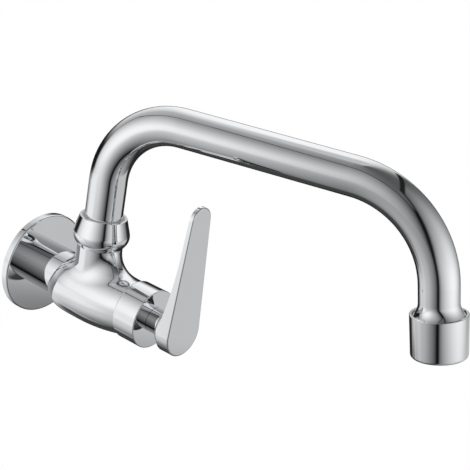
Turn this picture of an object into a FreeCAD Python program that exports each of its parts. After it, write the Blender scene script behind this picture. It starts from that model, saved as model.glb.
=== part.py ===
import FreeCAD, Part
import math
import os

# Wall-mounted basin tap. Millimetres, +Z up. The wall is the plane y = 0 and the
# tap stands out from it along -Y. The origin is on the inlet axis in the wall plane.
V = FreeCAD.Vector

# Inlet thread and wall flange
INLET_THREAD_D = 20.96
INLET_TAIL = 15.0
INLET_BORE_D = 14.0
INLET_CHAMFER = 1.0
THREAD_CLEARANCE = 0.05
LAND_STEP = 0.32
FLANGE_D = 56.0
FLANGE_T = 4.0
FLANGE_EDGE_R = 1.0
FLANGE_BORE_CLEARANCE = 0.2
GASKET_T = 2.0
GASKET_RIM = 3.0
GASKET_CLEARANCE = 0.2
FILTER_T = 1.2
FILTER_DEPTH = 3.0
FILTER_HOLE_D = 1.2
FILTER_PITCH = 2.0

# Body: distances from the wall are measured along the inlet axis
STUB_D = 26.0
BARREL_BACK_FROM_WALL = 14.5
BARREL_TOP = 15.4
SHOULDER_DROP = 10.5
SHOULDER_FROM_WALL = 37.0
SHOULDER_POWER = 2
BELLY_DEPTH = 18.5
BELLY_FROM_WALL = 42.0
HEEL_DROP = 9.6
HEEL_POWER = 6
BODY_STEPS = 18
BODY_FRONT_FROM_WALL = 71.5
BONNET_STEP = 1.2
SPOUT_AXIS_FROM_WALL = 42.0
SEAT_FROM_WALL = 35.5
SEAT_T = 2.5
SEAT_HOLE_D = 10.0
CHAMBER_UNDERCUT = 1.55
CHAMBER_LENGTH = 21.0
HEADWORK_THREAD_D = 20.9

# Neck of the body under the spout, and the hollow blend round its foot
NECK_SEAM_Z = 25.4
NECK_TOP_Z = 33.5
NECK_THREAD_STEP = 0.6
NECK_BORE_D = 16.9
NECK_BORE_SPARE = 1.5
PORT_D = 12.0
BLEND_R = 14.0

# Spout union
RUNNING_CLEARANCE = 0.05
UNION_NUT_STEP = 3.5
UNION_NUT_RIM = 1.2
UNION_NUT_BOTTOM_STEP = 0.1
UNION_NUT_H = 16.0
UNION_NUT_WIDEST = 4.9
UNION_NUT_EDGE_R = 6.5
UNION_NUT_MOUTH = 1.4
UNION_NUT_BORE_CLEARANCE = 0.2
THRUST_WASHER_T = 0.8
TAIL_FLANGE_T = 2.0
TAIL_FLANGE_GAP = 0.4
TAIL_NOSE_LENGTH = 18.0
TAIL_SPIGOT_LENGTH = 8.0
TAIL_BORE_D = 11.0
SPLIT_RING_WIDTH = 1.2
SPLIT_RING_T = 1.8
SPLIT_RING_CLEARANCE = 0.1
GLAND_RING_WIDTH = 1.3
GLAND_RING_T = 1.3
O_RING_CORD = 1.5
O_RING_SPACING = 7.0
O_RING_GROOVE_RATIO = 1.2

# Spout tube
TUBE_D = 20.0
TUBE_WALL = 1.2
RUN_Z = 99.0
RUN_LENGTH = 169.0
FIRST_BEND_R = 37.0
SECOND_BEND_R = 52.0
FALL_TILT_DEG = 13.0
FALL_LENGTH = 49.8
SWIVEL_REST_DEG = 16.0

# Outlet collar and aerator
COLLAR_FLARE_LENGTH = 7.0
COLLAR_THREAD_D = 24.0
COLLAR_THREAD_LENGTH = 9.0
COLLAR_LIP = 0.8
COLLAR_LIP_T = 0.4
AERATOR_WALL = 2.2
AERATOR_DRAFT = 0.3
AERATOR_H = 21.3
AERATOR_RIM_H = 1.0
AERATOR_RIM_GAP = 0.3
AERATOR_RIM_R = 0.3
AERATOR_EDGE_R = 1.4
AERATOR_LIP = 0.9
AERATOR_SEAL_T = 1.6
CARTRIDGE_FLANGE_T = 1.6
CARTRIDGE_WALL = 1.2
CARTRIDGE_PLATE_T = 1.5
CARTRIDGE_RECESS = 0.8
JET_D = 1.0
JET_COUNT = 12
JET_CIRCLE_D = 13.0
SCREEN_T = 0.6
SCREEN_SETBACK = 0.8
SCREEN_PITCH = 2.4
SCREEN_HOLE = 1.7
SCREEN_RIM = 1.0

# Ceramic headwork
HEX_AF = 24.0
HEX_T = 6.0
HEADWORK_WASHER_T = 0.8
HEADWORK_SLEEVE_STEP = 1.15
HEADWORK_CUP_D = 15.0
HEADWORK_NECK_D = 17.0
HEADWORK_NOSE_GAP = 0.4
WINDOW_LENGTH = 5.0
WINDOW_WIDTH = 8.0
DISC_SIDE_GAP = 0.3
DISC_T = 3.0
DISC_GAP = 0.05
DISC_PORT_R_IN = 2.0
DISC_PORT_R_OUT = 5.6
DISC_PORT_ANGLE = 70.0
DISC_SEAL_T = 2.5
DISC_SEAL_BORE_D = 8.6
SPINDLE_D = 9.5
SPINDLE_DOG_T = 2.5
SPINDLE_DOG_GAP = 0.4
TONGUE_WIDTH = 3.0
TONGUE_LENGTH = 9.0
TONGUE_DEPTH = 1.0
SPINDLE_GROOVE_DEPTH = 1.15
SPINDLE_O_RING_SPACING = 5.0
CLIP_T = 0.8
CLIP_D = 12.0
CLIP_GROOVE_DEPTH = 0.9
CLIP_OPENING_DEG = 60.0

# Bonnet
BONNET_HEX_GAP = 0.35
BONNET_LENGTH = 14.7
BONNET_WALL = 1.6
BONNET_END_T = 3.9
BONNET_END_LIP = 1.7
BONNET_NECK_GAP = 0.2
BONNET_HOLE_D = 13.2
BONNET_EDGE_R = 0.5
BONNET_BACK_R = 0.8

# Lever
LEVER_NECK_D = 13.2
LEVER_NECK_GAP = 0.15
LEVER_NECK_LENGTH = 8.75
HUB_DEPTH = 11.5
HUB_FOOT_R = 2.0
HUB_D = 24.0
HUB_DRAFT = 2.2
HUB_EDGE_R = 1.0
BLADE_HEIGHT = 68.5
BLADE_TIP_D = 13.8
BLADE_TIP_T = 2.4
BLADE_ROOT_T = 8.0
BLADE_ROOT_HEIGHT = 3.6
BLADE_SWEEP_T = 4.4
BLADE_SWEEP_HEIGHT = 23.2
BLADE_WEDGE_T = 2.9
BLADE_WEDGE_HEIGHT = 44.0
BLADE_EDGE_R = 0.8
SQUARE_AF = 6.5
SQUARE_LENGTH = 18.0
SQUARE_CLEARANCE = 0.05
GRUB_D = 5.0
GRUB_LENGTH = 6.0
GRUB_SOCKET_AF = 2.5
GRUB_SOCKET_DEPTH = 2.0

# Worked out diameters
LAND_D = INLET_THREAD_D + 2 * LAND_STEP
FLANGE_BORE_D = LAND_D + 2 * FLANGE_BORE_CLEARANCE
TUBE_BORE_D = TUBE_D - 2 * TUBE_WALL
CHAMBER_D = HEADWORK_THREAD_D + 2 * CHAMBER_UNDERCUT
HEADWORK_SLEEVE_D = HEADWORK_THREAD_D - 2 * HEADWORK_SLEEVE_STEP
DISC_D = HEADWORK_CUP_D - 2 * DISC_SIDE_GAP
SPINDLE_DOG_D = HEADWORK_CUP_D - 2 * SPINDLE_DOG_GAP
HEX_CORNERS_D = 2 * HEX_AF / math.sqrt(3)
BONNET_BORE_D = HEX_CORNERS_D + 2 * BONNET_HEX_GAP
BONNET_D = BONNET_BORE_D + 2 * BONNET_WALL
BODY_FRONT_D = BONNET_D - 2 * BONNET_STEP
SPLIT_RING_D = TUBE_D + 2 * SPLIT_RING_WIDTH
TAIL_FLANGE_D = SPLIT_RING_D - 2 * SPLIT_RING_CLEARANCE
TAIL_NOSE_D = NECK_BORE_D - 2 * RUNNING_CLEARANCE
NECK_THREAD_D = TAIL_FLANGE_D + 2 * TAIL_FLANGE_GAP
NECK_D = NECK_THREAD_D + 2 * NECK_THREAD_STEP
UNION_NUT_D = NECK_D + 2 * UNION_NUT_STEP
UNION_NUT_BOTTOM_D = NECK_D + 2 * UNION_NUT_BOTTOM_STEP
GLAND_RING_D = TUBE_D + 2 * GLAND_RING_WIDTH
UNION_NUT_TOP_D = GLAND_RING_D + 2 * UNION_NUT_RIM
COLLAR_LIP_D = COLLAR_THREAD_D + 2 * COLLAR_LIP
AERATOR_D = COLLAR_THREAD_D + 2 * AERATOR_WALL

# Worked out places along the inlet axis, as distances from the wall
CHAMBER_END = SEAT_FROM_WALL + CHAMBER_LENGTH
HEX_START = BODY_FRONT_FROM_WALL + HEADWORK_WASHER_T
HEX_END = HEX_START + HEX_T
BONNET_FRONT = BODY_FRONT_FROM_WALL + BONNET_LENGTH
HEADWORK_FRONT = BONNET_FRONT - BONNET_END_LIP - BONNET_NECK_GAP
LEVER_NECK_START = BONNET_FRONT + LEVER_NECK_GAP
HUB_BACK = LEVER_NECK_START + LEVER_NECK_LENGTH
LEVER_FRONT = HUB_BACK + HUB_DEPTH
FIXED_DISC_START = SEAT_FROM_WALL + DISC_SEAL_T
MOVING_DISC_START = FIXED_DISC_START + DISC_T + DISC_GAP
MOVING_DISC_END = MOVING_DISC_START + DISC_T
DOG_START = MOVING_DISC_END + DISC_GAP
DOG_END = DOG_START + SPINDLE_DOG_T
CLIP_START = HEADWORK_FRONT + DISC_GAP
SPINDLE_END = LEVER_NECK_START + SQUARE_LENGTH

# Worked out heights on the spout axis
TAIL_FLANGE_Z = NECK_TOP_Z + THRUST_WASHER_T + RUNNING_CLEARANCE
TUBE_START_Z = TAIL_FLANGE_Z + TAIL_FLANGE_T
SPLIT_RING_Z = TUBE_START_Z + RUNNING_CLEARANCE
NUT_SHOULDER_Z = SPLIT_RING_Z + SPLIT_RING_T
NUT_TOP_Z = NECK_SEAM_Z + UNION_NUT_H
TAIL_NOSE_Z = NECK_TOP_Z - TAIL_NOSE_LENGTH
SPOUT_AXIS = V(0, -SPOUT_AXIS_FROM_WALL, 0)
SWIVEL = math.radians(SWIVEL_REST_DEG)
RUN_DIR = V(math.sin(SWIVEL), -math.cos(SWIVEL), 0)
ACROSS = V(RUN_DIR.y, -RUN_DIR.x, 0)
OUT = V(0, -1, 0)
UP = V(0, 0, 1)


def save(node, shape):
    os.makedirs("parts", exist_ok=True)
    shape.exportStep(os.path.join("parts", node + ".step"))
    print(node, "solids", len(shape.Solids), "valid", shape.isValid(), "volume", round(shape.Volume, 1))


def rod(start, direction, length, diameter):
    return Part.makeCylinder(diameter / 2, length, start, direction)


def out_rod(start, end, diameter):
    """Round bar on the inlet axis between two distances from the wall."""
    return rod(OUT * start, OUT, end - start, diameter)


def out_ring(start, end, outer, inner):
    return out_rod(start, end, outer).cut(out_rod(start, end, inner))


def up_rod(low, high, diameter):
    """Round bar on the spout axis between two heights."""
    return rod(SPOUT_AXIS + UP * low, UP, high - low, diameter)


def up_ring(low, high, outer, inner):
    return up_rod(low, high, outer).cut(up_rod(low, high, inner))


def revolve(edges, centre, axis):
    return Part.Face(Part.Wire(edges)).revolve(centre, axis, 360)


def chain(points):
    """Straight edges from each point to the next."""
    return [Part.makeLine(a, b) for a, b in zip(points, points[1:])]


def cone(start, direction, length, diameter_start, diameter_end):
    return Part.makeCone(diameter_start / 2, diameter_end / 2, length, start, direction)


def prism(centre, direction, length, across_flats, side):
    """Six-sided bar with its first corner along side."""
    radius = across_flats / math.sqrt(3)
    other = direction.cross(side)
    corners = []
    for i in range(7):
        angle = math.radians(60 * i)
        corners.append(centre + (side * math.cos(angle) + other * math.sin(angle)) * radius)
    return Part.Face(Part.makePolygon(corners)).extrude(direction * length)


def torus(centre, axis, ring_diameter, cord):
    return Part.makeTorus(ring_diameter / 2, cord / 2, centre, axis)


def circle_edges(shape, axis_point, axis, position):
    """Round edges of a turned shape that lie at one place along its axis."""
    found = []
    for edge in shape.Edges:
        if not isinstance(edge.Curve, Part.Circle):
            continue
        place = (edge.Curve.Center - axis_point).dot(axis)
        if abs(place - position) < THREAD_CLEARANCE:
            found.append(edge)
    return found


def outer_edge(shape, axis_point, axis, position):
    return max(circle_edges(shape, axis_point, axis, position), key=lambda e: e.Curve.Radius)


# Wall fixing

def wall_flange():
    disc = out_ring(0, FLANGE_T, FLANGE_D, FLANGE_BORE_D)
    disc = disc.makeFillet(FLANGE_EDGE_R, [outer_edge(disc, V(0, 0, 0), OUT, FLANGE_T)])
    recess = out_rod(0, GASKET_T, FLANGE_D - 2 * GASKET_RIM)
    return disc.cut(recess)


def flange_gasket():
    outer = FLANGE_D - 2 * GASKET_RIM - 2 * GASKET_CLEARANCE
    return out_ring(0, GASKET_T, outer, FLANGE_BORE_D)


def inlet_filter():
    start = -INLET_TAIL + FILTER_DEPTH
    disc = out_rod(start, start + FILTER_T, INLET_BORE_D)
    reach = INLET_BORE_D / 2 - FILTER_PITCH
    count = int(reach / FILTER_PITCH)
    holes = []
    for i in range(-count, count + 1):
        for j in range(-count, count + 1):
            x = i * FILTER_PITCH
            z = j * FILTER_PITCH
            if math.hypot(x, z) + FILTER_HOLE_D / 2 < reach + FILTER_PITCH / 2:
                holes.append(rod(V(x, -start, z), OUT, FILTER_T, FILTER_HOLE_D))
    return disc.cut(Part.makeCompound(holes))


# Body

def body_section(distance, top, bottom):
    """Round section of the casting that reaches up and down by unlike amounts."""
    centre = OUT * distance + UP * (top - bottom) / 2
    return Part.Wire([Part.Circle(centre, OUT, (top + bottom) / 2).toShape()])


def barrel_top(distance, front_r):
    """Height of the top above the axis: it leans back down from the neck to the stub."""
    if distance < SHOULDER_FROM_WALL:
        share = (SHOULDER_FROM_WALL - distance) / (SHOULDER_FROM_WALL - BARREL_BACK_FROM_WALL)
        return BARREL_TOP - SHOULDER_DROP * share ** SHOULDER_POWER
    share = (distance - SHOULDER_FROM_WALL) / (BODY_FRONT_FROM_WALL - SHOULDER_FROM_WALL)
    return BARREL_TOP + (front_r - BARREL_TOP) * share


def belly_bottom(distance, front_r):
    """Depth of the underside below the axis: a round heel, then one smooth hump over the barrel."""
    if distance < BELLY_FROM_WALL:
        share = (BELLY_FROM_WALL - distance) / (BELLY_FROM_WALL - BARREL_BACK_FROM_WALL)
        return BELLY_DEPTH - HEEL_DROP * share ** HEEL_POWER
    share = (distance - BELLY_FROM_WALL) / (BODY_FRONT_FROM_WALL - BELLY_FROM_WALL)
    return BELLY_DEPTH - (BELLY_DEPTH - front_r) * share * share


def barrel():
    """Barrel of the casting, from its rounded back inside the stub to its front at the bonnet."""
    front_r = BODY_FRONT_D / 2
    span = BODY_FRONT_FROM_WALL - BARREL_BACK_FROM_WALL
    sections = []
    for step in range(BODY_STEPS + 1):
        distance = BARREL_BACK_FROM_WALL + span * step / BODY_STEPS
        top = barrel_top(distance, front_r)
        sections.append(body_section(distance, top, belly_bottom(distance, front_r)))
    return Part.makeLoft(sections, True, False)


def casting():
    """Barrel and neck in one, with the hollow blend that runs round the foot of the neck."""
    tee = barrel().fuse(up_rod(0, NECK_SEAM_Z + BLEND_R, NECK_D))
    foot = []
    for edge in tee.Edges:
        box = edge.BoundBox
        if box.ZMin > 0 and box.ZMax < NECK_SEAM_Z and box.XLength > NECK_D / 4:
            foot.append(edge)
    tee = tee.makeFillet(BLEND_R, foot)
    reach = 2 * BODY_FRONT_FROM_WALL
    above = Part.makeBox(reach, reach, reach, V(-reach / 2, -reach, NECK_SEAM_Z))
    return tee.cut(above)


def tap_body():
    solid = casting().fuse(out_rod(FLANGE_T, SPOUT_AXIS_FROM_WALL, STUB_D))
    solid = solid.fuse(up_rod(0, NECK_TOP_Z, NECK_THREAD_D))
    solid = solid.fuse(out_rod(0, FLANGE_T, LAND_D))
    solid = solid.fuse(out_rod(-INLET_TAIL, 0, INLET_THREAD_D))
    solid = solid.removeSplitter()
    end = outer_edge(solid, V(0, 0, 0), OUT, -INLET_TAIL)
    solid = solid.makeChamfer(INLET_CHAMFER, [end])
    mouth_d = HEADWORK_THREAD_D + 2 * THREAD_CLEARANCE
    hollow = out_rod(-INLET_TAIL, SEAT_FROM_WALL - SEAT_T, INLET_BORE_D)
    hollow = hollow.fuse(out_rod(-INLET_TAIL, CHAMBER_END, SEAT_HOLE_D))
    hollow = hollow.fuse(out_rod(SEAT_FROM_WALL, CHAMBER_END, CHAMBER_D))
    hollow = hollow.fuse(out_rod(SEAT_FROM_WALL, BODY_FRONT_FROM_WALL, mouth_d))
    hollow = hollow.fuse(up_rod(0, NECK_TOP_Z, PORT_D))
    hollow = hollow.fuse(up_rod(TAIL_NOSE_Z - NECK_BORE_SPARE, NECK_TOP_Z, NECK_BORE_D))
    return solid.cut(hollow)


# Headwork

def headwork_body():
    nose = SEAT_FROM_WALL + HEADWORK_NOSE_GAP
    solid = out_rod(nose, HEX_START, HEADWORK_SLEEVE_D)
    solid = solid.fuse(out_rod(CHAMBER_END, HEX_START, HEADWORK_THREAD_D))
    solid = solid.fuse(prism(OUT * HEX_START, OUT, HEX_T, HEX_AF, V(1, 0, 0)))
    solid = solid.fuse(out_rod(HEX_START, HEADWORK_FRONT, HEADWORK_NECK_D))
    cup = out_rod(nose, DOG_END + RUNNING_CLEARANCE, HEADWORK_CUP_D)
    bore = out_rod(nose, HEADWORK_FRONT, SPINDLE_D + 2 * RUNNING_CLEARANCE)
    window = Part.makeBox(WINDOW_WIDTH, WINDOW_LENGTH, HEADWORK_SLEEVE_D,
                          V(-WINDOW_WIDTH / 2, -MOVING_DISC_START - WINDOW_LENGTH, -HEADWORK_SLEEVE_D / 2))
    return solid.cut(cup).cut(bore).cut(window)


def headwork_washer():
    return out_ring(BODY_FRONT_FROM_WALL, HEX_START, HEX_CORNERS_D, HEADWORK_THREAD_D + 2 * THREAD_CLEARANCE)


def disc_seal():
    return out_ring(SEAT_FROM_WALL, FIXED_DISC_START, DISC_D, DISC_SEAL_BORE_D)


def disc_ports(start, first_angle):
    """Two opposite sector slots through a ceramic disc, the first centred at an angle from +X towards +Z."""
    ports = []
    for centre in (first_angle, first_angle + 180):
        sector = Part.makeCylinder(DISC_PORT_R_OUT, DISC_T, V(0, 0, 0), UP, DISC_PORT_ANGLE)
        sector = sector.cut(Part.makeCylinder(DISC_PORT_R_IN, DISC_T, V(0, 0, 0), UP))
        sector.rotate(V(0, 0, 0), UP, centre - DISC_PORT_ANGLE / 2)
        sector.rotate(V(0, 0, 0), V(1, 0, 0), 90)
        sector.translate(OUT * start)
        ports.append(sector)
    return Part.makeCompound(ports)


def fixed_disc():
    disc = out_rod(FIXED_DISC_START, FIXED_DISC_START + DISC_T, DISC_D)
    return disc.cut(disc_ports(FIXED_DISC_START, 90))


def tongue_box(start, end, clearance):
    width = TONGUE_WIDTH + 2 * clearance
    length = TONGUE_LENGTH + 2 * clearance
    return Part.makeBox(length, end - start, width, V(-length / 2, -end, -width / 2))


def moving_disc():
    """Closed at rest: its slots lie a quarter turn away from those of the fixed disc."""
    disc = out_rod(MOVING_DISC_START, MOVING_DISC_END, DISC_D)
    slot = tongue_box(MOVING_DISC_END - TONGUE_DEPTH - RUNNING_CLEARANCE, MOVING_DISC_END, RUNNING_CLEARANCE)
    return disc.cut(disc_ports(MOVING_DISC_START, 0)).cut(slot)


SPINDLE_FLOOR_D = SPINDLE_D - 2 * SPINDLE_GROOVE_DEPTH
SPINDLE_CORD = SPINDLE_GROOVE_DEPTH + RUNNING_CLEARANCE / 2
SPINDLE_SEAL_PLACES = [HEX_START, HEX_START + SPINDLE_O_RING_SPACING]


def spindle():
    solid = out_rod(DOG_START, DOG_END, SPINDLE_DOG_D)
    solid = solid.fuse(tongue_box(MOVING_DISC_END - TONGUE_DEPTH, DOG_START, 0))
    solid = solid.fuse(out_rod(DOG_END, LEVER_NECK_START, SPINDLE_D))
    square_corner = V(-SQUARE_AF / 2, -SPINDLE_END, -SQUARE_AF / 2)
    solid = solid.fuse(Part.makeBox(SQUARE_AF, SQUARE_LENGTH, SQUARE_AF, square_corner))
    half = SPINDLE_CORD * O_RING_GROOVE_RATIO / 2
    for place in SPINDLE_SEAL_PLACES:
        solid = solid.cut(out_ring(place - half, place + half, 2 * SPINDLE_D, SPINDLE_FLOOR_D))
    clip_floor = SPINDLE_D - 2 * CLIP_GROOVE_DEPTH
    return solid.cut(out_ring(CLIP_START, CLIP_START + CLIP_T, 2 * SPINDLE_D, clip_floor))


def spindle_o_rings():
    ring = SPINDLE_FLOOR_D + SPINDLE_CORD
    return Part.makeCompound([torus(OUT * place, OUT, ring, SPINDLE_CORD) for place in SPINDLE_SEAL_PLACES])


def spindle_clip():
    inner = SPINDLE_D - 2 * CLIP_GROOVE_DEPTH
    ring = out_ring(CLIP_START, CLIP_START + CLIP_T, CLIP_D, inner)
    half = math.radians(CLIP_OPENING_DEG / 2)
    reach = CLIP_D
    mouth = Part.makePolygon([V(0, -CLIP_START, 0),
                              V(reach * math.sin(half), -CLIP_START, -reach * math.cos(half)),
                              V(-reach * math.sin(half), -CLIP_START, -reach * math.cos(half)),
                              V(0, -CLIP_START, 0)])
    return ring.cut(Part.Face(mouth).extrude(OUT * CLIP_T))


def bonnet():
    shell = out_rod(BODY_FRONT_FROM_WALL, BONNET_FRONT, BONNET_D)
    shell = shell.makeFillet(BONNET_EDGE_R, [outer_edge(shell, V(0, 0, 0), OUT, BONNET_FRONT)])
    shell = shell.makeFillet(BONNET_BACK_R, [outer_edge(shell, V(0, 0, 0), OUT, BODY_FRONT_FROM_WALL)])
    shell = shell.cut(out_rod(BODY_FRONT_FROM_WALL, BONNET_FRONT - BONNET_END_T, BONNET_BORE_D))
    shell = shell.cut(out_rod(BODY_FRONT_FROM_WALL, BONNET_FRONT - BONNET_END_LIP,
                              HEADWORK_NECK_D + 2 * THREAD_CLEARANCE))
    return shell.cut(out_rod(BODY_FRONT_FROM_WALL, BONNET_FRONT, BONNET_HOLE_D))


# Lever

def blade_outline():
    """Round foot on the turning axis, straight sides and a round tip."""
    foot = HUB_D / 2
    tip = BLADE_TIP_D / 2
    tip_z = BLADE_HEIGHT - tip
    lean = math.asin((foot - tip) / tip_z)
    side = V(math.cos(lean), 0, math.sin(lean))
    mirror = V(-side.x, 0, side.z)
    base = OUT * HUB_BACK
    top = base + UP * tip_z
    return [
        Part.Arc(base + mirror * foot, base - UP * foot, base + side * foot).toShape(),
        Part.makeLine(base + side * foot, top + side * tip),
        Part.Arc(top + side * tip, top + UP * tip, top + mirror * tip).toShape(),
        Part.makeLine(top + mirror * tip, base + mirror * foot),
    ]


def blade_side():
    """Side view of the blade: a thick root that thins in one hollow sweep to the tip."""
    past_tip = BLADE_HEIGHT + HUB_D
    past_foot = -HUB_D

    def at(thickness, z):
        return V(-HUB_D, -LEVER_FRONT + thickness, z)

    root = at(BLADE_ROOT_T, BLADE_ROOT_HEIGHT)
    wedge = at(BLADE_WEDGE_T, BLADE_WEDGE_HEIGHT)
    sweep = Part.Arc(root, at(BLADE_SWEEP_T, BLADE_SWEEP_HEIGHT), wedge).toShape()
    edges = chain([wedge, at(BLADE_TIP_T, BLADE_HEIGHT), at(BLADE_TIP_T, past_tip), at(0, past_tip),
                   at(0, past_foot), at(BLADE_ROOT_T, past_foot), root])
    return Part.Face(Part.Wire(edges + [sweep])).extrude(V(2 * HUB_D, 0, 0))


def lever():
    plate = Part.Face(Part.Wire(blade_outline())).extrude(OUT * HUB_DEPTH)
    front = [edge for edge in plate.Edges if edge.BoundBox.YMax < -LEVER_FRONT + THREAD_CLEARANCE]
    blade = plate.makeFillet(BLADE_EDGE_R, front).common(blade_side())
    hub = cone(OUT * HUB_BACK, OUT, HUB_DEPTH - BLADE_TIP_T, HUB_D - 2 * HUB_DRAFT, HUB_D)
    hub = hub.makeFillet(HUB_EDGE_R, [outer_edge(hub, V(0, 0, 0), OUT, HUB_BACK)])
    neck = out_rod(LEVER_NECK_START, HUB_BACK + HUB_DRAFT, LEVER_NECK_D)
    stem = hub.fuse(neck)
    foot = [edge for edge in circle_edges(stem, V(0, 0, 0), OUT, HUB_BACK)
            if abs(2 * edge.Curve.Radius - LEVER_NECK_D) < THREAD_CLEARANCE]
    solid = blade.fuse(stem.makeFillet(HUB_FOOT_R, foot))
    socket_af = SQUARE_AF + 2 * SQUARE_CLEARANCE
    depth = SPINDLE_END - LEVER_NECK_START + SQUARE_CLEARANCE
    socket_corner = V(-socket_af / 2, -LEVER_NECK_START - depth, -socket_af / 2)
    socket = Part.makeBox(socket_af, depth, socket_af, socket_corner)
    return solid.cut(socket).cut(rod(grub_foot(), -UP, HUB_D, GRUB_D + 2 * THREAD_CLEARANCE))


def grub_foot():
    """Where the grub screw meets the underside of the spindle's square."""
    return OUT * (HUB_BACK + HUB_DEPTH / 2 - BLADE_TIP_T / 2) - UP * SQUARE_AF / 2


def lever_grub_screw():
    foot = grub_foot()
    screw = rod(foot, -UP, GRUB_LENGTH, GRUB_D)
    socket_start = foot - UP * (GRUB_LENGTH - GRUB_SOCKET_DEPTH)
    return screw.cut(prism(socket_start, -UP, GRUB_SOCKET_DEPTH, GRUB_SOCKET_AF, V(1, 0, 0)))


# Spout union

def spout_nut():
    """Double cone with a rounded belt, screwed on the neck over the bearing rings."""
    widest_z = NECK_SEAM_Z + UNION_NUT_WIDEST
    lower = cone(SPOUT_AXIS + UP * NECK_SEAM_Z, UP, UNION_NUT_WIDEST, UNION_NUT_BOTTOM_D, UNION_NUT_D)
    upper = cone(SPOUT_AXIS + UP * widest_z, UP, NUT_TOP_Z - widest_z, UNION_NUT_D, UNION_NUT_TOP_D)
    nut = lower.fuse(upper)
    nut = nut.makeFillet(UNION_NUT_EDGE_R, [outer_edge(nut, SPOUT_AXIS, UP, widest_z)])
    nut = nut.cut(up_rod(NECK_SEAM_Z, NECK_TOP_Z, NECK_THREAD_D + 2 * THREAD_CLEARANCE))
    nut = nut.cut(up_rod(NECK_SEAM_Z, NUT_SHOULDER_Z, SPLIT_RING_D))
    nut = nut.cut(up_rod(NECK_SEAM_Z, NUT_TOP_Z, TUBE_D + 2 * UNION_NUT_BORE_CLEARANCE))
    mouth = up_rod(NUT_TOP_Z - UNION_NUT_MOUTH, NUT_TOP_Z, GLAND_RING_D)
    return nut.cut(mouth)


def thrust_washer():
    return up_ring(NECK_TOP_Z, NECK_TOP_Z + THRUST_WASHER_T, TAIL_FLANGE_D, NECK_BORE_D)


def split_ring():
    return up_ring(SPLIT_RING_Z, NUT_SHOULDER_Z, SPLIT_RING_D, TUBE_D + 2 * RUNNING_CLEARANCE)


def gland_ring():
    low = NUT_TOP_Z - UNION_NUT_MOUTH
    return up_ring(low, low + GLAND_RING_T, GLAND_RING_D, TUBE_D + 2 * RUNNING_CLEARANCE)


SPOUT_SEAL_MIDDLE = TAIL_NOSE_Z + TAIL_NOSE_LENGTH / 2
SPOUT_SEAL_PLACES = [SPOUT_SEAL_MIDDLE - O_RING_SPACING / 2, SPOUT_SEAL_MIDDLE + O_RING_SPACING / 2]


def spout_tail():
    solid = up_rod(TAIL_NOSE_Z, TAIL_FLANGE_Z, TAIL_NOSE_D)
    solid = solid.fuse(up_rod(TAIL_FLANGE_Z, TUBE_START_Z, TAIL_FLANGE_D))
    solid = solid.fuse(up_rod(TUBE_START_Z, TUBE_START_Z + TAIL_SPIGOT_LENGTH, TUBE_BORE_D))
    half = O_RING_CORD * O_RING_GROOVE_RATIO / 2
    for place in SPOUT_SEAL_PLACES:
        solid = solid.cut(up_ring(place - half, place + half, 2 * TAIL_NOSE_D, TAIL_NOSE_D - 2 * O_RING_CORD))
    return solid.cut(up_rod(0, RUN_Z, TAIL_BORE_D))


def spout_o_rings():
    ring = TAIL_NOSE_D - O_RING_CORD
    return Part.makeCompound([torus(SPOUT_AXIS + UP * place, UP, ring, O_RING_CORD)
                              for place in SPOUT_SEAL_PLACES])


# Spout

def fall_dir():
    tilt = math.radians(FALL_TILT_DEG)
    return RUN_DIR * math.sin(tilt) - UP * math.cos(tilt)


def far_corner():
    """Where the run's axis would meet the falling leg's axis."""
    return SPOUT_AXIS + UP * RUN_Z + RUN_DIR * RUN_LENGTH


def bend(corner, before, after, radius):
    """Tangent arc round a corner between two unit directions."""
    turn = before.getAngle(after)
    reach = radius * math.tan(turn / 2)
    start = corner - before * reach
    end = corner + after * reach
    inward = (after - before).normalize()
    middle = corner + inward * (radius / math.cos(turn / 2) - radius)
    return start, end, Part.Arc(start, middle, end).toShape()


def spout_path():
    near_corner = SPOUT_AXIS + UP * RUN_Z
    rise_end, run_start, first = bend(near_corner, UP, RUN_DIR, FIRST_BEND_R)
    run_end, fall_start, second = bend(far_corner(), RUN_DIR, fall_dir(), SECOND_BEND_R)
    start = SPOUT_AXIS + UP * TUBE_START_Z
    end = far_corner() + fall_dir() * FALL_LENGTH
    return Part.Wire([Part.makeLine(start, rise_end), first, Part.makeLine(run_start, run_end), second,
                      Part.makeLine(fall_start, end)])


def spout_tube():
    path = spout_path()
    start = SPOUT_AXIS + UP * TUBE_START_Z

    def swept(diameter):
        ring = Part.Wire([Part.Circle(start, UP, diameter / 2).toShape()])
        return path.makePipeShell([ring], True, False)

    return swept(TUBE_D).cut(swept(TUBE_BORE_D))


def fall_point(distance):
    return far_corner() + fall_dir() * distance


def fall_rod(start, end, diameter):
    return rod(fall_point(start), fall_dir(), end - start, diameter)


def fall_ring(start, end, outer, inner):
    return fall_rod(start, end, outer).cut(fall_rod(start, end, inner))


COLLAR_LIP_END = FALL_LENGTH + COLLAR_FLARE_LENGTH
COLLAR_END = COLLAR_LIP_END + COLLAR_THREAD_LENGTH
HOUSING_TOP = COLLAR_LIP_END - COLLAR_LIP_T - AERATOR_RIM_H
HOUSING_END = HOUSING_TOP + AERATOR_H
CARTRIDGE_START = COLLAR_END + AERATOR_SEAL_T
LEDGE = CARTRIDGE_START + CARTRIDGE_FLANGE_T
CARTRIDGE_END = HOUSING_END - CARTRIDGE_RECESS
CARTRIDGE_D = COLLAR_THREAD_D - 2 * AERATOR_LIP - 2 * THREAD_CLEARANCE
CARTRIDGE_BORE_D = CARTRIDGE_D - 2 * CARTRIDGE_WALL


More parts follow.
